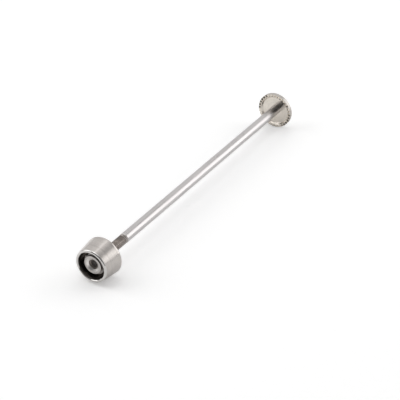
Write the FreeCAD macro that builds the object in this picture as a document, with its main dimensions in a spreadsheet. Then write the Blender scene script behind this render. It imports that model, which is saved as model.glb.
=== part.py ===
import FreeCAD, Part
import os

import Sketcher

# Locking wheel skewer: a rod with a fixed round head, and a coded nut inside a tapered guard cup.
# The rod lies along +Y, from the head's clamping face at the origin to the nut. Lengths are in mm.

# Driving dimensions
SIZES = {
    "rod_diameter": 5.0,
    "rod_reach": 164.0,
    "thread_diameter": 4.8,
    "thread_length": 23.0,
    "tip_chamfer": 0.5,
    "head_diameter": 19.0,
    "head_wall": 2.1,
    "head_flank_width": 2.4,
    "head_flank_height": 1.7,
    "head_thickness": 4.4,
    "rim_width": 1.4,
    "rim_height": 1.0,
    "recess_slope": 0.7,
    "socket_depth": 2.4,
    "serration_count": 32,
    "serration_depth": 0.35,
    "serration_width": 0.7,
    "serration_land": 0.3,
    "cup_set_back": 8.0,
    "cup_length": 11.3,
    "cup_base_diameter": 19.5,
    "cup_base_round": 1.0,
    "cup_mouth_diameter": 16.8,
    "cup_mouth_bevel": 0.35,
    "cup_bore": 14.2,
    "cup_bore_chamfer": 0.25,
    "cup_floor": 1.4,
    "cup_recess_depth": 1.6,
    "cup_ring_width": 2.6,
    "nut_diameter": 11.1,
    "nut_sink": 1.45,
    "nut_edge": 0.25,
    "boss_diameter": 9.2,
    "boss_height": 1.45,
    "boss_edge": 0.2,
    "neck_diameter": 7.7,
    "neck_sink": 0.4,
    "countersink": 0.7,
    "scallop_depth": 0.8,
    "scallop_radius": 1.9,
    "scallop_angle_one": 42,
    "scallop_angle_two": 85,
    "scallop_angle_three": 128,
    "scallop_angle_four": 188,
    "scallop_angle_five": 321,
    "groove_depth": 0.5,
    "ring_width": 1.4,
    "ring_thickness": 0.5,
    "ring_arc": 300,
    "running_clearance": 0.05,
    "end_play": 0.1,
}
SCALLOP_ANGLES = [name for name in SIZES if name.startswith("scallop_angle")]

# Radii and heights worked out from the sheet, as expressions
ROD_RADIUS = "Sheet.rod_diameter / 2"
THREAD_RADIUS = "Sheet.thread_diameter / 2"
THREAD_START = "Sheet.rod_reach - Sheet.thread_length"
HEAD_RADIUS = "Sheet.head_diameter / 2"
RIM_INNER_RADIUS = f"{HEAD_RADIUS} - Sheet.rim_width"
SOCKET_FLOOR = "Sheet.rim_height + Sheet.socket_depth"
CUP_STATION = "Sheet.rod_reach - Sheet.cup_set_back"
CUP_BASE_RADIUS = "Sheet.cup_base_diameter / 2"
CUP_MOUTH_RADIUS = "Sheet.cup_mouth_diameter / 2"
CUP_BORE_RADIUS = "Sheet.cup_bore / 2"
CUP_FLOOR_TOP = "Sheet.cup_recess_depth + Sheet.cup_floor"
CUP_RECESS_RADIUS = f"{CUP_BASE_RADIUS} - Sheet.cup_base_round - Sheet.cup_ring_width"
NECK_RADIUS = "Sheet.neck_diameter / 2"
CUP_HOLE_RADIUS = f"{NECK_RADIUS} + Sheet.running_clearance"
NUT_RADIUS = "Sheet.nut_diameter / 2"
NUT_SEAT = f"{CUP_FLOOR_TOP} + Sheet.end_play"
NUT_FACE = "Sheet.cup_length - Sheet.nut_sink"
NUT_SHOULDER = f"{NUT_FACE} - Sheet.boss_height"
BOSS_RADIUS = "Sheet.boss_diameter / 2"
NUT_BORE_RADIUS = f"{THREAD_RADIUS} + Sheet.running_clearance"
COUNTERSINK_RADIUS = f"{NUT_BORE_RADIUS} + Sheet.countersink"
SCALLOP_CIRCLE = f"{NUT_RADIUS} - Sheet.scallop_depth + Sheet.scallop_radius"
GROOVE_RADIUS = f"{NECK_RADIUS} - Sheet.groove_depth"
GROOVE_TOP = "Sheet.cup_recess_depth"
RING_TOP = f"{GROOVE_TOP} - Sheet.running_clearance"
RING_FOOT = f"{RING_TOP} - Sheet.ring_thickness"
GROOVE_FOOT = f"{RING_FOOT} - Sheet.running_clearance"
RING_INNER_RADIUS = f"{GROOVE_RADIUS} + Sheet.running_clearance"
RING_OUTER_RADIUS = f"{RING_INNER_RADIUS} + Sheet.ring_width"

doc = FreeCAD.newDocument("skewer")


def make_sheet():
    """Spreadsheet of the driving dimensions, one aliased cell each."""
    sheet = doc.addObject("Spreadsheet::Sheet", "Sheet")
    for row, (alias, number) in enumerate(SIZES.items(), start=1):
        sheet.set(f"A{row}", alias)
        sheet.set(f"B{row}", str(number))
        sheet.setAlias(f"B{row}", alias)
    doc.recompute()
    return sheet


sheet = make_sheet()


def value(expression):
    """The number that an expression gives with the sheet's present cells."""
    return float(sheet.evalExpression(expression))


def new_body(label):
    """An empty body whose label names its file."""
    body = doc.addObject("PartDesign::Body", label)
    body.Label = label
    return body


def origin_feature(body, role):
    """One of the body's own origin planes or axes."""
    return next(item for item in body.Origin.OriginFeatures if item.Role == role)


def new_sketch(body, name, plane):
    """A sketch on one of the body's own origin planes."""
    sketch = body.newObject("Sketcher::SketchObject", name)
    sketch.AttachmentSupport = [(origin_feature(body, plane), "")]
    sketch.MapMode = "FlatFace"
    return sketch


def pin(sketch, kind, geometry, point, expression):
    """Hold one coordinate of a sketch point at an expression, measured from the sketch's origin."""
    number = value(expression)
    if abs(number) < 1e-9:
        axis = -2 if kind == "DistanceX" else -1
        sketch.addConstraint(Sketcher.Constraint("PointOnObject", geometry, point, axis))
        return
    ends = (-1, 1, geometry, point) if number > 0 else (geometry, point, -1, 1)
    index = sketch.addConstraint(Sketcher.Constraint(kind, *ends, abs(number)))
    sketch.setExpression(f"Constraints[{index}]", expression if number > 0 else f"-({expression})")


def closed_outline(sketch, corners):
    """Closed outline of straight sides through pinned corners."""
    points = [FreeCAD.Vector(value(across), value(along), 0) for across, along in corners]
    count = len(points)
    for side in range(count):
        sketch.addGeometry(Part.LineSegment(points[side], points[(side + 1) % count]))
    for side in range(count):
        sketch.addConstraint(Sketcher.Constraint("Coincident", side, 2, (side + 1) % count, 1))
    for side, (across, along) in enumerate(corners):
        pin(sketch, "DistanceX", side, 1, across)
        pin(sketch, "DistanceY", side, 1, along)


def turned(body, name, corners):
    """Revolve an outline of (radius, height) corners about the rod's axis."""
    sketch = new_sketch(body, f"{name}_outline", "XY_Plane")
    closed_outline(sketch, corners)
    solid = body.newObject("PartDesign::Revolution", name)
    solid.Profile = sketch
    solid.ReferenceAxis = (sketch, ["V_Axis"])
    solid.Angle = 360
    doc.recompute()
    return solid


def ring_edges(shape, rings):
    """Names of the circular edges at the given (radius, height) places."""
    wanted = [(value(radius), value(height)) for radius, height in rings]
    names = []
    for number, edge in enumerate(shape.Edges, start=1):
        if edge.Degenerated or not isinstance(edge.Curve, Part.Circle):
            continue
        place = (edge.Curve.Radius, edge.Curve.Center.y)
        if any(abs(place[0] - r) < 1e-4 and abs(place[1] - h) < 1e-4 for r, h in wanted):
            names.append(f"Edge{number}")
    if len(names) < len(wanted):
        raise RuntimeError(f"edges missing at {wanted}")
    return names


def rounded(body, name, base, rings, radius):
    """Round the circular edges at the given places."""
    fillet = body.newObject("PartDesign::Fillet", name)
    fillet.Base = (base, ring_edges(base.Shape, rings))
    fillet.setExpression("Radius", radius)
    doc.recompute()
    return fillet


def bevelled(body, name, base, rings, size):
    """Chamfer the circular edges at the given places."""
    chamfer = body.newObject("PartDesign::Chamfer", name)
    chamfer.Base = (base, ring_edges(base.Shape, rings))
    chamfer.setExpression("Size", size)
    doc.recompute()
    return chamfer


def pocketed(body, name, sketch, direction, length=None):
    """Cut a sketch to a length, or else through the body, and make sure that it took something off."""
    before = body.Shape.Volume
    pocket = body.newObject("PartDesign::Pocket", name)
    pocket.Profile = sketch
    setattr(pocket, direction, True)
    if length is None:
        pocket.Type = "ThroughAll"
    else:
        pocket.setExpression("Length", length)
    doc.recompute()
    if not body.Shape.Volume < before:
        raise RuntimeError(f"{name} cuts nothing")
    return pocket


def serrated(body, name, land_radius, length=None):
    """Radial V teeth pressed into the clamping face at height 0, outward from a plain inner land."""
    sketch = new_sketch(body, f"{name}_tooth", "YZ_Plane")
    sketch.setExpression("AttachmentOffset.Base.z", land_radius)
    depth = "Sheet.serration_depth"
    width = "Sheet.serration_width"
    closed_outline(sketch, [(depth, "0"), (f"-{depth}", width), (f"-{depth}", f"-{width}")])
    tooth = pocketed(body, f"{name}_groove", sketch, "Reversed", length)
    teeth = body.newObject("PartDesign::PolarPattern", name)
    teeth.Originals = [tooth]
    teeth.Axis = (origin_feature(body, "Y_Axis"), [""])
    teeth.Angle = 360
    teeth.setExpression("Occurrences", "Sheet.serration_count")
    body.Tip = teeth
    doc.recompute()


def make_rod():
    """Skewer rod: plain shank pressed into the head, threaded end with a bevelled tip."""
    body = new_body("skewer_rod")
    turned(body, "shank", [
        ("0", f"-({SOCKET_FLOOR})"),
        (ROD_RADIUS, f"-({SOCKET_FLOOR})"),
        (ROD_RADIUS, THREAD_START),
        (THREAD_RADIUS, THREAD_START),
        (THREAD_RADIUS, "Sheet.rod_reach - Sheet.tip_chamfer"),
        (f"{THREAD_RADIUS} - Sheet.tip_chamfer", "Sheet.rod_reach"),
        ("0", "Sheet.rod_reach"),
    ])
    return body


def make_head():
    """Fixed head: disc with a raised serrated rim, a recessed face round the rod and a low coned back."""
    body = new_body("skewer_head")
    turned(body, "disc", [
        (ROD_RADIUS, "Sheet.rim_height"),
        (f"{RIM_INNER_RADIUS} - Sheet.recess_slope", "Sheet.rim_height"),
        (RIM_INNER_RADIUS, "0"),
        (HEAD_RADIUS, "0"),
        (HEAD_RADIUS, "Sheet.head_wall"),
        (f"{HEAD_RADIUS} - Sheet.head_flank_width", "Sheet.head_wall + Sheet.head_flank_height"),
        ("0", "Sheet.head_thickness"),
        ("0", SOCKET_FLOOR),
        (ROD_RADIUS, SOCKET_FLOOR),
    ])
    serrated(body, "rim_teeth", f"{RIM_INNER_RADIUS} + Sheet.serration_land")
    body.Placement = FreeCAD.Placement(FreeCAD.Vector(), FreeCAD.Rotation(FreeCAD.Vector(0, 0, 1), 180))
    return body


def make_cup():
    """Guard cup: tapers to its mouth so that a tool slips off, with a floor that the nut pulls on."""
    body = new_body("guard_cup")
    mouth_inner = f"{CUP_BORE_RADIUS} + Sheet.cup_bore_chamfer"
    shell = turned(body, "shell", [
        (CUP_RECESS_RADIUS, "0"),
        (CUP_BASE_RADIUS, "0"),
        (CUP_MOUTH_RADIUS, "Sheet.cup_length"),
        (mouth_inner, "Sheet.cup_length"),
        (CUP_BORE_RADIUS, "Sheet.cup_length - Sheet.cup_bore_chamfer"),
        (CUP_BORE_RADIUS, CUP_FLOOR_TOP),
        (CUP_HOLE_RADIUS, CUP_FLOOR_TOP),
        (CUP_HOLE_RADIUS, "Sheet.cup_recess_depth"),
        (CUP_RECESS_RADIUS, "Sheet.cup_recess_depth"),
    ])
    base = rounded(body, "base_edge", shell, [(CUP_BASE_RADIUS, "0")], "Sheet.cup_base_round")
    bevelled(body, "mouth_edge", base, [(CUP_MOUTH_RADIUS, "Sheet.cup_length")], "Sheet.cup_mouth_bevel")
    land = f"{CUP_RECESS_RADIUS} + Sheet.serration_land"
    serrated(body, "base_teeth", land, "Sheet.cup_ring_width - 2 * Sheet.serration_land")
    body.setExpression(".Placement.Base.y", CUP_STATION)
    return body


def make_nut():
    """Coded nut: scalloped body for the key, round pilot boss, and a grooved neck through the cup's floor."""
    body = new_body("coded_nut")
    turning = turned(body, "turning", [
        (COUNTERSINK_RADIUS, "Sheet.neck_sink"),
        (NECK_RADIUS, "Sheet.neck_sink"),
        (NECK_RADIUS, GROOVE_FOOT),
        (GROOVE_RADIUS, GROOVE_FOOT),
        (GROOVE_RADIUS, GROOVE_TOP),
        (NECK_RADIUS, GROOVE_TOP),
        (NECK_RADIUS, NUT_SEAT),
        (NUT_RADIUS, NUT_SEAT),
        (NUT_RADIUS, NUT_SHOULDER),
        (BOSS_RADIUS, NUT_SHOULDER),
        (BOSS_RADIUS, NUT_FACE),
        (COUNTERSINK_RADIUS, NUT_FACE),
        (NUT_BORE_RADIUS, f"{NUT_FACE} - Sheet.countersink"),
        (NUT_BORE_RADIUS, "Sheet.neck_sink + Sheet.countersink"),
    ])
    shoulder = bevelled(body, "shoulder_edge", turning, [(NUT_RADIUS, NUT_SHOULDER)], "Sheet.nut_edge")
    bevelled(body, "boss_bevel", shoulder, [(BOSS_RADIUS, NUT_FACE)], "Sheet.boss_edge")
    code = new_sketch(body, "code_outline", "XZ_Plane")
    for number, angle in enumerate(SCALLOP_ANGLES):
        across = f"({SCALLOP_CIRCLE}) * cos(Sheet.{angle})"
        along = f"({SCALLOP_CIRCLE}) * sin(Sheet.{angle})"
        centre = FreeCAD.Vector(value(across), value(along), 0)
        code.addGeometry(Part.Circle(centre, FreeCAD.Vector(0, 0, 1), SIZES["scallop_radius"]))
        pin(code, "DistanceX", number, 3, across)
        pin(code, "DistanceY", number, 3, along)
        index = code.addConstraint(Sketcher.Constraint("Radius", number, SIZES["scallop_radius"]))
        code.setExpression(f"Constraints[{index}]", "Sheet.scallop_radius")
    pocketed(body, "scallops", code, "Midplane")
    body.setExpression(".Placement.Base.y", CUP_STATION)
    return body


def make_ring():
    """Retaining ring: snap ring in the nut's groove that keeps the cup on the nut, open at the top."""
    body = new_body("retaining_ring")
    ring = turned(body, "ring", [
        (RING_INNER_RADIUS, RING_FOOT),
        (RING_OUTER_RADIUS, RING_FOOT),
        (RING_OUTER_RADIUS, RING_TOP),
        (RING_INNER_RADIUS, RING_TOP),
    ])
    ring.setExpression("Angle", "Sheet.ring_arc")
    ring.Midplane = True
    body.Placement = FreeCAD.Placement(FreeCAD.Vector(), FreeCAD.Rotation(FreeCAD.Vector(0, 1, 0), 90))
    body.setExpression(".Placement.Base.y", CUP_STATION)
    return body


def check(bodies):
    """Stop if any object failed or any piece isn't one valid solid."""
    doc.recompute()
    failed = [item.Name for item in doc.Objects if {"Invalid", "Error"} & set(item.State)]
    if failed:
        raise RuntimeError(f"failed objects: {failed}")
    for body in bodies:
        shape = body.Shape
        if shape.isNull() or not shape.isValid() or len(shape.Solids) != 1:
            raise RuntimeError(f"{body.Label} isn't one valid solid")


def write(bodies):
    """Write each piece to its own STEP file."""
    os.makedirs("parts", exist_ok=True)
    for body in bodies:
        body.Shape.exportStep(f"parts/{body.Label}.step")
        box = body.Shape.BoundBox
        print(f"{body.Label}: {body.Shape.Volume:.1f} mm3, y {box.YMin:.2f} to {box.YMax:.2f}, "
              f"across {box.XLength:.2f} by {box.ZLength:.2f}")


pieces = [make_rod(), make_head(), make_cup(), make_nut(), make_ring()]
check(pieces)
write(pieces)
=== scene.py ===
import math

import bmesh
import bpy
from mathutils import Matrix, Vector


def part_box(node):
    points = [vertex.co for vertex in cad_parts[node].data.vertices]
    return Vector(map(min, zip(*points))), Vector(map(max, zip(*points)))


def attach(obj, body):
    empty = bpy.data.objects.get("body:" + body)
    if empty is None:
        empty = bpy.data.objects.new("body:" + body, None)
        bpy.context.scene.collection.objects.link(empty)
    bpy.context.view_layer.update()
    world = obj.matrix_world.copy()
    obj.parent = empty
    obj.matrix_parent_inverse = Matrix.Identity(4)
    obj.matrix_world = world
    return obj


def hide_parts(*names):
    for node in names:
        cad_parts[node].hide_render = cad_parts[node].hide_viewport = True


# Locking wheel skewer lying on white paper. Sizes are in mm, in the part's own frame: the rod lies
# along +Y, from the head's clamping rim at 0 to the nut's end.
MM = 0.001
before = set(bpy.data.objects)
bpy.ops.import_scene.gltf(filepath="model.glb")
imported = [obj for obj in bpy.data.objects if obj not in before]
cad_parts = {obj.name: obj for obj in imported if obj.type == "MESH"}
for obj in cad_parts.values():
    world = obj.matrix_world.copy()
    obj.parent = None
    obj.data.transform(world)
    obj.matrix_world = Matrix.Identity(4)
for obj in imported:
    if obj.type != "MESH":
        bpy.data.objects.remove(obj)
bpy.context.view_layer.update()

# Rod and head, as in the CAD: radii, and heights along +Y
ROD_RADIUS = 2.5
ROD_TIP = 164.0
TIP_CHAMFER = 0.5
THREAD_RADIUS = 2.4
THREAD_START = 141.0
HEAD_RADIUS = 9.5
HEAD_WALL = -2.1
FLANK_RADIUS = 7.1
FLANK_FOOT = -3.8
HEAD_BACK = -4.4
RIM_INNER_RADIUS = 8.1
RECESS_RADIUS = 7.4
RECESS_FLOOR = -1.0
SOCKET_FLOOR = -3.4
TOOTH_COUNT = 32

# Cup, nut and ring, as in the CAD: radii, heights above the cup's base, and angles in degrees
CUP_BASE = 156.0
CUP_LENGTH = 11.3
CUP_BASE_RADIUS = 9.75
CUP_BASE_ROUND = 1.0
CUP_MOUTH_RADIUS = 8.4
CUP_BORE_RADIUS = 7.1
BORE_CHAMFER = 0.25
CUP_FLOOR_TOP = 3.0
CUP_HOLE_RADIUS = 3.9
CUP_RECESS_RADIUS = 6.15
CUP_RECESS_TOP = 1.6
NUT_RADIUS = 5.55
NUT_SEAT = 3.1
NUT_SHOULDER = 8.4
NUT_FACE = 9.85
BOSS_RADIUS = 4.6
NECK_RADIUS = 3.85
NECK_FOOT = 0.4
NECK_MOUTH_RADIUS = 3.15
NUT_BORE_RADIUS = 2.45
NUT_BORE_FOOT = 1.1
GROOVE_RADIUS = 3.35
GROOVE_FOOT = 1.0
GROOVE_TOP = 1.6
SCALLOP_ANGLES = (42, 85, 128, 188, 321)
SCALLOP_CIRCLE = 6.65
SCALLOP_RADIUS = 1.9
RING_INNER_RADIUS = 3.4
RING_OUTER_RADIUS = 4.8
RING_FOOT = 1.05
RING_TOP = 1.55
RING_ARC = 300

# Details of the scene alone. The teeth, the lip's rounding and the countersink are a little larger
# than in the CAD, to follow the photo. The thread's crest, flank and points are shares of its pitch.
TOOTH_DEPTH = 0.42
TOOTH_WIDTH = 1.5
TOOTH_END_STEP = 0.01
HEAD_TEETH = (8.3, 9.6)
CUP_TEETH = (6.45, 8.45)
LIP_ROUND = 0.7
COUNTERSINK_RADIUS = 3.5
COUNTERSINK_FOOT = 9.2
BORE_SHOWN = 7.6
SUPPORT_SHARE = 0.15
THREAD_ROOT = 2.0
THREAD_PITCH = 0.8
THREAD_RUN_OUT = 1.4
CREST_HALF = 0.09
FLANK_WIDTH = 0.27
ACROSS_PITCH = (-0.09, 0.0, 0.09, 0.18, 0.27, 0.36, 0.5, 0.64, 0.73, 0.82)

# Paper: what is added to its white as the camera sees it, and as the metal mirrors it. The second, painted
# light in the metal, goes from the side softbox's half to the front softbox's, between two X places. Places are
# in metres.
PAPER_GLOW = 0.26
MIRRORED_GLOW = (0.03, 0.18)
MIRRORED_CHANGE = (-0.01, 0.03)
PAPER_HALF = 3

# Grey of the room's light round the rod's axis, from the front softbox's side at 0, over the top, to 1
CEILING = ((0.0, 0.72), (0.42, 0.80), (0.46, 1.0), (0.50, 0.62), (0.70, 0.45), (0.80, 0.60), (1.0, 0.60))

# Camera fitted to the photo: lens in mm, place in metres and the way it looks
CAMERA_LENS = 131.2
CAMERA_PLACE = (-0.3236, 0.5934, 0.3817)
CAMERA_LOOK = (0.44383, -0.71171, -0.54465)


# Outlines and meshes

def arc_points(corner, before, after, radius, steps=4):
    """Round one outline corner, with a support point on each side that keeps the flats flat."""
    into = (before - corner).normalized()
    out = (after - corner).normalized()
    half = into.angle(out) / 2
    reach = radius / math.tan(half)
    start, end = corner + into * reach, corner + out * reach
    centre = corner + (into + out).normalized() * (radius / math.sin(half))
    first, last = start - centre, end - centre
    sweep = first.angle(last)
    points = [start + into * radius * SUPPORT_SHARE]
    for step in range(steps + 1):
        share = step / steps
        turn = (first * math.sin((1 - share) * sweep) + last * math.sin(share * sweep)) / math.sin(sweep)
        points.append(centre + turn)
    points.append(end + out * radius * SUPPORT_SHARE)
    return points


def outline(corners, closed=True):
    """Points of an outline given as (radius, height, rounding) corners."""
    places = [Vector(corner[:2]) for corner in corners]
    count = len(places)
    points = []
    for index, (_, _, rounding) in enumerate(corners):
        ends_here = not closed and index in (0, count - 1)
        if rounding and not ends_here:
            points += arc_points(places[index], places[index - 1], places[(index + 1) % count], rounding)
        else:
            points.append(places[index])
    return points


def between(start, end, steps):
    """Evenly spaced points between two outline points, both left out."""
    return [start.lerp(end, step / steps) for step in range(1, steps)]


def with_teeth(bare, inner, outer, steps):
    """Outline with more points on its clamping face, at height 0, where the teeth start, run and end."""
    points = []
    for here, there in zip(bare, bare[1:] + bare[:1]):
        points.append(here)
        if abs(here.y) < 1e-6 and abs(there.y) < 1e-6 and there.x - here.x > 0.5:
            start, end = Vector((inner, 0)), Vector((min(outer, there.x), 0))
            points += [Vector((inner - TOOTH_END_STEP, 0)), start] + between(start, end, steps)
            if outer < there.x:
                points += [end, Vector((outer + TOOTH_END_STEP, 0))]
    return points


def tooth_depth(radius, angle, inner, outer):
    """Depth of the radial V grooves at a place on a clamping face."""
    if not inner <= radius <= outer:
        return 0.0
    half_pitch = math.pi / TOOTH_COUNT
    off = (angle + half_pitch) % (2 * half_pitch) - half_pitch
    return TOOTH_DEPTH * max(0.0, 1 - abs(off) * radius / (TOOTH_WIDTH / 2))


def vertex(mesh, radius, height, angle):
    """New vertex at a place round the rod's axis."""
    return mesh.verts.new((radius * math.cos(angle) * MM, height * MM, radius * math.sin(angle) * MM))


def shaped(name, points, segments, shape=None, arc=360):
    """Turn a closed outline about the rod's axis. shape(radius, height, angle) may move each point."""
    mesh = bmesh.new()
    full = arc == 360
    columns = []
    for column in range(segments if full else segments + 1):
        angle = math.radians(arc) * column / segments
        if not full:
            angle += math.radians(90 + (360 - arc) / 2)
        places = [shape(point.x, point.y, angle) if shape else point for point in points]
        columns.append([vertex(mesh, radius, height, angle) for radius, height in places])
    rows = len(points)
    for column in range(segments):
        here, there = columns[column], columns[(column + 1) % len(columns)]
        for row in range(rows):
            after = (row + 1) % rows
            mesh.faces.new((here[row], here[after], there[after], there[row]))
    if not full:
        mesh.faces.new(columns[0])
        mesh.faces.new(columns[-1])
    return finished(name, mesh)


def finished(name, mesh, sharp=32):
    """Weld, face outward, shade smooth across gentle angles and put the mesh in the scene."""
    bmesh.ops.remove_doubles(mesh, verts=mesh.verts, dist=1e-7)
    bmesh.ops.dissolve_degenerate(mesh, edges=mesh.edges, dist=1e-7)
    bmesh.ops.recalc_face_normals(mesh, faces=mesh.faces)
    data = bpy.data.meshes.new(name)
    mesh.to_mesh(data)
    mesh.free()
    data.shade_smooth()
    data.set_sharp_from_angle(angle=math.radians(sharp))
    piece = bpy.data.objects.new(name, data)
    bpy.context.scene.collection.objects.link(piece)
    return piece


# The pieces

def thread_place(turn, part, angle):
    """Radius and height on the right-hand thread, at a part of the pitch in a turn."""
    height = THREAD_START + THREAD_PITCH * (turn + part - angle / (2 * math.pi))
    height = min(max(height, THREAD_START), ROD_TIP)
    sunk = min(max((min(part, 1 - part) - CREST_HALF) / FLANK_WIDTH, 0.0), 1.0)
    depth = (THREAD_RADIUS - THREAD_ROOT) * sunk * min(1.0, (height - THREAD_START) / THREAD_RUN_OUT)
    bevel = THREAD_RADIUS - TIP_CHAMFER + (ROD_TIP - height)
    return min(THREAD_RADIUS - depth, bevel), height


def make_rod():
    """Plain shank, then a thread with a run-out at its start and a bevelled, slightly dished tip."""
    segments = 128
    mesh = bmesh.new()
    angles = [2 * math.pi * column / segments for column in range(segments)]

    def joined(rows, shift=0):
        for row in range(len(rows) - 1):
            for column in range(segments):
                low, high = rows[row], rows[row + 1]
                if column < segments - 1:
                    corners = (low[column], high[column], high[column + 1], low[column + 1])
                elif row >= shift:
                    corners = (low[column], high[column], rows[row + 1 - shift][0], rows[row - shift][0])
                else:
                    continue
                mesh.faces.new(corners)

    shank_end, step_start = THREAD_START - 0.35, THREAD_START - 0.1
    shank = [Vector((0, SOCKET_FLOOR)), Vector((ROD_RADIUS, SOCKET_FLOOR)), Vector((ROD_RADIUS, RECESS_FLOOR))]
    shank += between(Vector((ROD_RADIUS, RECESS_FLOOR)), Vector((ROD_RADIUS, shank_end)), 24)
    shank += outline([(ROD_RADIUS, shank_end, 0), (ROD_RADIUS, step_start, 0.08),
                      (THREAD_RADIUS, THREAD_START, 0)], closed=False)
    joined([[vertex(mesh, point.x, point.y, angle) for angle in angles] for point in shank])

    rows = []
    turns = round((ROD_TIP - THREAD_START) / THREAD_PITCH)
    for turn in range(-1, turns + 2):
        for part in ACROSS_PITCH:
            rows.append([vertex(mesh, *thread_place(turn, part, angle), angle) for angle in angles])
    joined(rows, shift=len(ACROSS_PITCH))

    tip = [(THREAD_RADIUS - TIP_CHAMFER, ROD_TIP), (1.2, ROD_TIP), (0.5, ROD_TIP - 0.02), (0.0, ROD_TIP - 0.04)]
    joined([[vertex(mesh, radius, height, angle) for angle in angles] for radius, height in tip])
    return finished("polished_skewer_rod", mesh, sharp=40)


def make_head():
    """Disc with a raised serrated rim, a recessed face round the rod and a low coned back."""
    disc = outline([
        (ROD_RADIUS, RECESS_FLOOR, 0), (RECESS_RADIUS, RECESS_FLOOR, 0.3), (RIM_INNER_RADIUS, 0.0, 0.12),
        (HEAD_RADIUS, 0.0, 0.08), (HEAD_RADIUS, HEAD_WALL, 0.25), (FLANK_RADIUS, FLANK_FOOT, 0.8),
        (0.0, HEAD_BACK, 0), (0.0, SOCKET_FLOOR, 0), (ROD_RADIUS, SOCKET_FLOOR, 0),
    ])

    def toothed(radius, height, angle):
        if height > -TOOTH_DEPTH:
            height = min(height, -tooth_depth(radius, angle, *HEAD_TEETH))
        return radius, height

    points = with_teeth(disc, *HEAD_TEETH, steps=3)
    return shaped("turned_skewer_head", points, segments=TOOTH_COUNT * 20, shape=toothed)


def make_cup():
    """Tapered guard: serrated clamping ring, floor with a hole for the nut's neck, and an open mouth."""
    shell = outline([
        (CUP_RECESS_RADIUS, 0.0, 0.1), (CUP_BASE_RADIUS, 0.0, CUP_BASE_ROUND),
        (CUP_MOUTH_RADIUS, CUP_LENGTH, LIP_ROUND), (CUP_BORE_RADIUS + BORE_CHAMFER, CUP_LENGTH, 0.06),
        (CUP_BORE_RADIUS, CUP_LENGTH - BORE_CHAMFER, 0.05), (CUP_BORE_RADIUS, CUP_FLOOR_TOP, 0.2),
        (CUP_HOLE_RADIUS, CUP_FLOOR_TOP, 0.05), (CUP_HOLE_RADIUS, CUP_RECESS_TOP, 0.05),
        (CUP_RECESS_RADIUS, CUP_RECESS_TOP, 0.15),
    ])

    def toothed(radius, height, angle):
        if height < TOOTH_DEPTH:
            height = max(height, tooth_depth(radius, angle, *CUP_TEETH))
        return radius, height + CUP_BASE

    points = with_teeth(shell, *CUP_TEETH, steps=4)
    return shaped("tapered_guard_cup", points, segments=TOOTH_COUNT * 20, shape=toothed)


def make_nut():
    """Nut turned with a pilot boss and a grooved neck, with the key's irregular scallops down its side."""
    points = outline([
        (NECK_MOUTH_RADIUS, NECK_FOOT, 0.05), (NECK_RADIUS, NECK_FOOT, 0.12), (NECK_RADIUS, GROOVE_FOOT, 0.03),
        (GROOVE_RADIUS, GROOVE_FOOT, 0.03), (GROOVE_RADIUS, GROOVE_TOP, 0.03), (NECK_RADIUS, GROOVE_TOP, 0.03),
        (NECK_RADIUS, NUT_SEAT, 0.05), (NUT_RADIUS, NUT_SEAT, 0.12), (NUT_RADIUS, NUT_SHOULDER, 0.22),
        (BOSS_RADIUS, NUT_SHOULDER, 0.08), (BOSS_RADIUS, NUT_FACE, 0.18), (COUNTERSINK_RADIUS, NUT_FACE, 0.06),
        (NUT_BORE_RADIUS, COUNTERSINK_FOOT, 0.05), (NUT_BORE_RADIUS, BORE_SHOWN, 0),
        (NUT_BORE_RADIUS, NUT_BORE_FOOT, 0.05),
    ])
    centres = [math.radians(angle) for angle in SCALLOP_ANGLES]

    def scalloped(radius, height, angle):
        for centre in centres:
            off = SCALLOP_CIRCLE * math.sin(angle - centre)
            if abs(off) < SCALLOP_RADIUS and math.cos(angle - centre) > 0:
                edge = SCALLOP_CIRCLE * math.cos(angle - centre) - math.sqrt(SCALLOP_RADIUS**2 - off**2)
                radius = min(radius, edge)
        return radius, height + CUP_BASE

    return shaped("turned_coded_nut", points, segments=720, shape=scalloped)


def make_ring():
    """Open snap ring in the nut's groove."""
    points = outline([
        (RING_INNER_RADIUS, RING_FOOT, 0.06), (RING_OUTER_RADIUS, RING_FOOT, 0.06),
        (RING_OUTER_RADIUS, RING_TOP, 0.06), (RING_INNER_RADIUS, RING_TOP, 0.06),
    ])
    points = [point + Vector((0, CUP_BASE)) for point in points]
    return shaped("sprung_retaining_ring", points, segments=160, arc=RING_ARC)


# Materials

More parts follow.
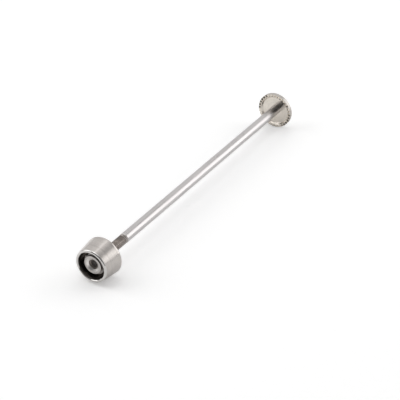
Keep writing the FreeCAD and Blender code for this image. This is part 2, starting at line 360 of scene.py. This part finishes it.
class Nodes:
    """Short-hand for building the node tree of a material or a world."""

    def __init__(self, owner, shader):
        owner.use_nodes = True
        self.tree = owner.node_tree
        self.shader = self.tree.nodes[shader]

    def add(self, kind, **settings):
        node = self.tree.nodes.new(kind)
        for setting, choice in settings.items():
            setattr(node, setting, choice)
        return node

    def link(self, source, target):
        self.tree.links.new(source, target)

    def place(self, coordinates="Object"):
        return self.add("ShaderNodeTexCoord").outputs[coordinates]

    def axes(self, vector):
        node = self.add("ShaderNodeSeparateXYZ")
        self.link(vector, node.inputs[0])
        return node.outputs

    def math(self, operation, first, second=None):
        node = self.add("ShaderNodeMath", operation=operation)
        for socket, item in zip(node.inputs, (first, second)):
            if isinstance(item, (int, float)):
                socket.default_value = item
            elif item is not None:
                self.link(item, socket)
        return node.outputs[0]

    def mean(self, first, second, share=0.5):
        """Weighted mean of two sockets, with the first one's share."""
        return self.math("ADD", self.math("MULTIPLY", first, share), self.math("MULTIPLY", second, 1 - share))

    def noise(self, vector, scale, detail=3.0, stretch=(1, 1, 1)):
        mapping = self.add("ShaderNodeMapping")
        mapping.inputs["Scale"].default_value = stretch
        self.link(vector, mapping.inputs["Vector"])
        node = self.add("ShaderNodeTexNoise")
        node.inputs["Scale"].default_value = scale
        node.inputs["Detail"].default_value = detail
        self.link(mapping.outputs[0], node.inputs["Vector"])
        return node.outputs["Fac"]

    def ranged(self, source, low, high, start=0.3, end=0.7, kind="LINEAR"):
        """Socket that goes from low to high while the source goes from start to end."""
        node = self.add("ShaderNodeMapRange", interpolation_type=kind)
        for name, number in (("From Min", start), ("From Max", end), ("To Min", low), ("To Max", high)):
            node.inputs[name].default_value = number
        self.link(source, node.inputs["Value"])
        return node.outputs[0]

    def coloured(self, factor, first, second):
        """Blend two colours on the shader."""
        node = self.add("ShaderNodeMix", data_type="RGBA")
        self.link(factor, node.inputs["Factor"])
        node.inputs[6].default_value = (*first, 1)
        node.inputs[7].default_value = (*second, 1)
        self.link(node.outputs[2], self.shader.inputs["Base Color"])

    def bumped(self, height, strength, distance):
        node = self.add("ShaderNodeBump")
        node.inputs["Strength"].default_value = strength
        node.inputs["Distance"].default_value = distance
        self.link(height, node.inputs["Height"])
        self.link(node.outputs[0], self.shader.inputs["Normal"])


def turned_metal(name, light, dark, roughness, marks, anisotropy=0.0, bump=0.02):
    """Bare metal with fine lathe rings, cloudy handling marks and a tool-mark sheen."""
    material = bpy.data.materials.new(name)
    nodes = Nodes(material, "Principled BSDF")
    place = nodes.place()
    x, y, z = nodes.axes(place)
    radius = nodes.math("SQRT", nodes.math("ADD", nodes.math("MULTIPLY", x, x), nodes.math("MULTIPLY", z, z)))
    lathe = nodes.add("ShaderNodeCombineXYZ")
    nodes.link(radius, lathe.inputs[0])
    nodes.link(y, lathe.inputs[1])
    rings = nodes.noise(lathe.outputs[0], marks, 4.0)
    clouds = nodes.noise(place, 260.0, 4.0)
    grain = nodes.noise(place, 9000.0, 2.0)
    nodes.coloured(nodes.ranged(nodes.mean(rings, clouds, 0.55), 0, 1, 0.36, 0.62), dark, light)
    worn = nodes.ranged(nodes.mean(clouds, grain, 0.6), roughness * 0.88, roughness * 1.14)
    nodes.link(worn, nodes.shader.inputs["Roughness"])
    nodes.shader.inputs["Metallic"].default_value = 1.0
    if anisotropy:
        nodes.shader.inputs["Anisotropic"].default_value = anisotropy
        nodes.shader.inputs["Anisotropic Rotation"].default_value = 0.25
        tangent = nodes.add("ShaderNodeTangent", direction_type="RADIAL", axis="Y")
        nodes.link(tangent.outputs[0], nodes.shader.inputs["Tangent"])
    nodes.bumped(rings, bump, 0.00002)
    return material


def drawn_metal(name, light, dark, roughness):
    """Polished rod with faint drawing lines along its length."""
    material = bpy.data.materials.new(name)
    nodes = Nodes(material, "Principled BSDF")
    place = nodes.place()
    lines = nodes.noise(place, 2600.0, 3.0, (1, 0.012, 1))
    clouds = nodes.noise(place, 180.0, 3.0, (1, 0.35, 1))
    nodes.coloured(nodes.ranged(nodes.mean(lines, clouds), 0, 1, 0.36, 0.62), dark, light)
    worn = nodes.ranged(clouds, roughness * 0.8, roughness * 1.3)
    nodes.link(worn, nodes.shader.inputs["Roughness"])
    nodes.shader.inputs["Metallic"].default_value = 1.0
    nodes.bumped(lines, 0.03, 0.00001)
    return material


def white_paper():
    """Paper that keeps its soft shadows, reads as white to the camera, and glows in the metal with painted
    light towards +X.
    """
    material = bpy.data.materials.new("white_paper")
    nodes = Nodes(material, "Principled BSDF")
    place = nodes.place()
    nodes.coloured(nodes.ranged(nodes.noise(place, 700.0, 5.0), 0, 1), (0.90, 0.90, 0.90), (0.93, 0.93, 0.93))
    nodes.shader.inputs["Roughness"].default_value = 0.9
    nodes.shader.inputs["Specular IOR Level"].default_value = 0.1
    # painted reflection: the glow that the metal mirrors grows from -X to +X, brighter on the front softbox's
    # side
    mirrored_painted_light = nodes.ranged(nodes.axes(place)["X"], *MIRRORED_GLOW, *MIRRORED_CHANGE)
    ray = nodes.add("ShaderNodeLightPath").outputs
    glow = nodes.math("ADD", nodes.math("MULTIPLY", ray["Is Camera Ray"], PAPER_GLOW),
                      nodes.math("MULTIPLY", ray["Is Glossy Ray"], mirrored_painted_light))
    nodes.link(glow, nodes.shader.inputs["Emission Strength"])
    nodes.shader.inputs["Emission Color"].default_value = (1, 1, 1, 1)
    return material


def painted(piece, metal, chosen):
    """Give another metal to the faces that chosen(middle in mm, normal) picks."""
    piece.data.materials.append(metal)
    slot = len(piece.data.materials) - 1
    for face in piece.data.polygons:
        if chosen(face.center / MM, face.normal):
            face.material_index = slot


def off_axis(place):
    """Distance from the rod's axis."""
    return math.hypot(place.x, place.z)


# The object

rod = make_rod()
head = make_head()
cup = make_cup()
nut = make_nut()
ring = make_ring()

# Light and dark tone, roughness, fineness of the lathe marks, and anisotropy where there is any
rod_metal = drawn_metal("polished_rod_steel", (0.66, 0.635, 0.63), (0.59, 0.57, 0.565), 0.29)
# painted shade: the thread's colour is darker than the shank's, standing in for the shade in its grooves
thread_shade_metal = turned_metal("cut_thread_painted_shade", (0.54, 0.495, 0.465), (0.29, 0.265, 0.25), 0.25, 2600.0)
# painted shade: the rod's end face sits deep in the nut's bore, and its near-black colour stands in for the
# bore's shade; its roughness and bump are the sawn finish
sawn_end_shade_metal = turned_metal("sawn_rod_end_painted_shade", (0.11, 0.101, 0.095), (0.05, 0.046, 0.042), 0.45, 1400.0, bump=0.3)
cup_metal = turned_metal("turned_cup_steel", (0.65, 0.61, 0.58), (0.55, 0.515, 0.49), 0.20, 2200.0, 0.5)
head_metal = turned_metal("turned_head_steel", (0.83, 0.77, 0.695), (0.71, 0.66, 0.59), 0.17, 1800.0, 0.3)
back_metal = turned_metal("turned_back_steel", (0.62, 0.585, 0.55), (0.51, 0.48, 0.45), 0.38, 2000.0, 0.4)
nut_metal = turned_metal("turned_nut_steel", (0.60, 0.572, 0.548), (0.45, 0.427, 0.408), 0.28, 2400.0, 0.4)
# partly real, partly painted highlight: the lip is polished smoother than the cup, and its colour is lighter
# than the cup's so what it mirrors reads brighter
lip_highlight_metal = turned_metal("polished_lip_painted_highlight", (0.74, 0.72, 0.70), (0.64, 0.62, 0.60), 0.09, 2200.0)
# painted shade: the nut's body and neck below the boss sit in the gap inside the cup, and their dark colour
# stands in for that gap's shade
flank_shade_metal = turned_metal("milled_flank_painted_shade", (0.34, 0.32, 0.305), (0.24, 0.225, 0.215), 0.30, 2400.0)
# painted highlight: the countersink and the bore above the rod's end get a near-white steel so that they shine
# brighter than the nut
chamfer_highlight_metal = turned_metal("cut_chamfer_painted_highlight", (0.90, 0.87, 0.84), (0.78, 0.75, 0.72), 0.36, 3000.0)
ring_metal = turned_metal("dark_spring_steel", (0.24, 0.24, 0.24), (0.14, 0.14, 0.14), 0.34, 1500.0)

for piece, body, node, slot, metal in (
    (rod, "skewer", "skewer_rod", "polished_rod", rod_metal),
    (head, "skewer", "skewer_head", "turned_steel", head_metal),
    (cup, "cup", "guard_cup", "turned_steel", cup_metal),
    (nut, "nut", "coded_nut", "nut_steel", nut_metal),
    (ring, "ring", "retaining_ring", "spring_steel", ring_metal),
):
    piece.data.materials.append(metal)
    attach(piece, body)
    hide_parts(node)


def on_wall_or_back(middle):
    """Whether a place on the head is on its wall or its coned back."""
    return off_axis(middle) > HEAD_RADIUS - 0.05 or middle.y < HEAD_WALL + 0.1


def in_mouth_of_bore(middle):
    """Whether a place on the nut is on its countersink, or on the bore above the rod's end."""
    return middle.y > CUP_BASE + BORE_SHOWN and off_axis(middle) < COUNTERSINK_RADIUS + 0.05


def on_scalloped_body(middle):
    """Whether a place on the nut is on its scalloped body or its neck, below the boss."""
    return middle.y < CUP_BASE + NUT_SHOULDER + 0.05 and not in_mouth_of_bore(middle)


# the thread gets the darker colour, painted shade of its grooves
painted(rod, thread_shade_metal, lambda middle, normal: middle.y > THREAD_START)
# the rod's end face gets the near-black painted shade of the bore
painted(rod, sawn_end_shade_metal, lambda middle, normal: middle.y > THREAD_START and normal.y > 0.95)
painted(head, back_metal, lambda middle, normal: on_wall_or_back(middle))
# the cup's lip gets the lighter copy of the cup's steel, a painted highlight
painted(cup, lip_highlight_metal, lambda middle, normal: middle.y > CUP_BASE + CUP_LENGTH - LIP_ROUND and normal.y > 0.25)
# the countersink and upper bore get the near-white painted highlight
painted(nut, chamfer_highlight_metal, lambda middle, normal: in_mouth_of_bore(middle))
# the nut's body and neck below the boss get the dark painted shade of the gap inside the cup
painted(nut, flank_shade_metal, lambda middle, normal: on_scalloped_body(middle))

# Floor, light and camera

scene = bpy.context.scene
floor_level = min(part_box(node)[0].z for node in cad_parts)
corners = [(across * PAPER_HALF, along * PAPER_HALF, floor_level)
           for across, along in ((-1, -1), (1, -1), (1, 1), (-1, 1))]
floor_data = bpy.data.meshes.new("paper_floor")
floor_data.from_pydata(corners, [], [(0, 1, 2, 3)])
floor_data.materials.append(white_paper())
floor = bpy.data.objects.new("paper_floor", floor_data)
scene.collection.objects.link(floor)


def softbox(name, towards, width, radiance, distance=0.9):
    """A round light that faces the middle of the rod from a given direction."""
    middle = Vector((0, ROD_TIP / 2 * MM, 0))
    light = bpy.data.lights.new(name, "AREA")
    light.shape = "DISK"
    light.size = width
    light.energy = radiance * math.pi * math.pi * (width / 2) ** 2
    lamp = bpy.data.objects.new(name, light)
    lamp.location = middle + Vector(towards).normalized() * distance
    lamp.rotation_euler = (middle - lamp.location).to_track_quat("-Z", "Y").to_euler()
    scene.collection.objects.link(lamp)


def studio_world():
    """Soft room light: bright ceiling panel, a greyer gap above the softbox, a dark room behind the camera."""
    world = bpy.data.worlds.new("studio")
    nodes = Nodes(world, "Background")
    x, y, z = nodes.axes(nodes.place("Generated"))
    ceiling = nodes.add("ShaderNodeValToRGB")
    stops = ceiling.color_ramp.elements
    for position, _ in CEILING[1:-1]:
        stops.new(position)
    for stop, (position, grey) in zip(stops, CEILING):
        stop.position, stop.color = position, (grey, grey, grey, 1)
    nodes.link(nodes.math("DIVIDE", nodes.math("ARCTAN2", z, x), math.pi), ceiling.inputs[0])
    nodes.link(ceiling.outputs[0], nodes.shader.inputs["Color"])
    behind = nodes.ranged(y, 1.0, 0.13, 0.05, 0.55, "SMOOTHSTEP")
    overhead = nodes.ranged(z, 0.0, 1.2, 0.83, 1.0, "SMOOTHSTEP")
    nodes.link(nodes.math("ADD", behind, overhead), nodes.shader.inputs["Strength"])
    return world


softbox("side_softbox", (-0.577, -0.764, 0.313), width=0.92, radiance=1.2)
softbox("front_softbox", (0.71, 0.41, 0.57), width=0.73, radiance=1.6)
scene.world = studio_world()

camera = bpy.data.objects.new("camera", bpy.data.cameras.new("camera"))
camera.data.lens = CAMERA_LENS
camera.data.sensor_width = 36.0
camera.data.clip_start, camera.data.clip_end = 0.01, 20
camera.location = CAMERA_PLACE
camera.rotation_euler = Vector(CAMERA_LOOK).to_track_quat("-Z", "Y").to_euler()
scene.collection.objects.link(camera)
scene.camera = camera
scene.view_settings.view_transform = "Standard"
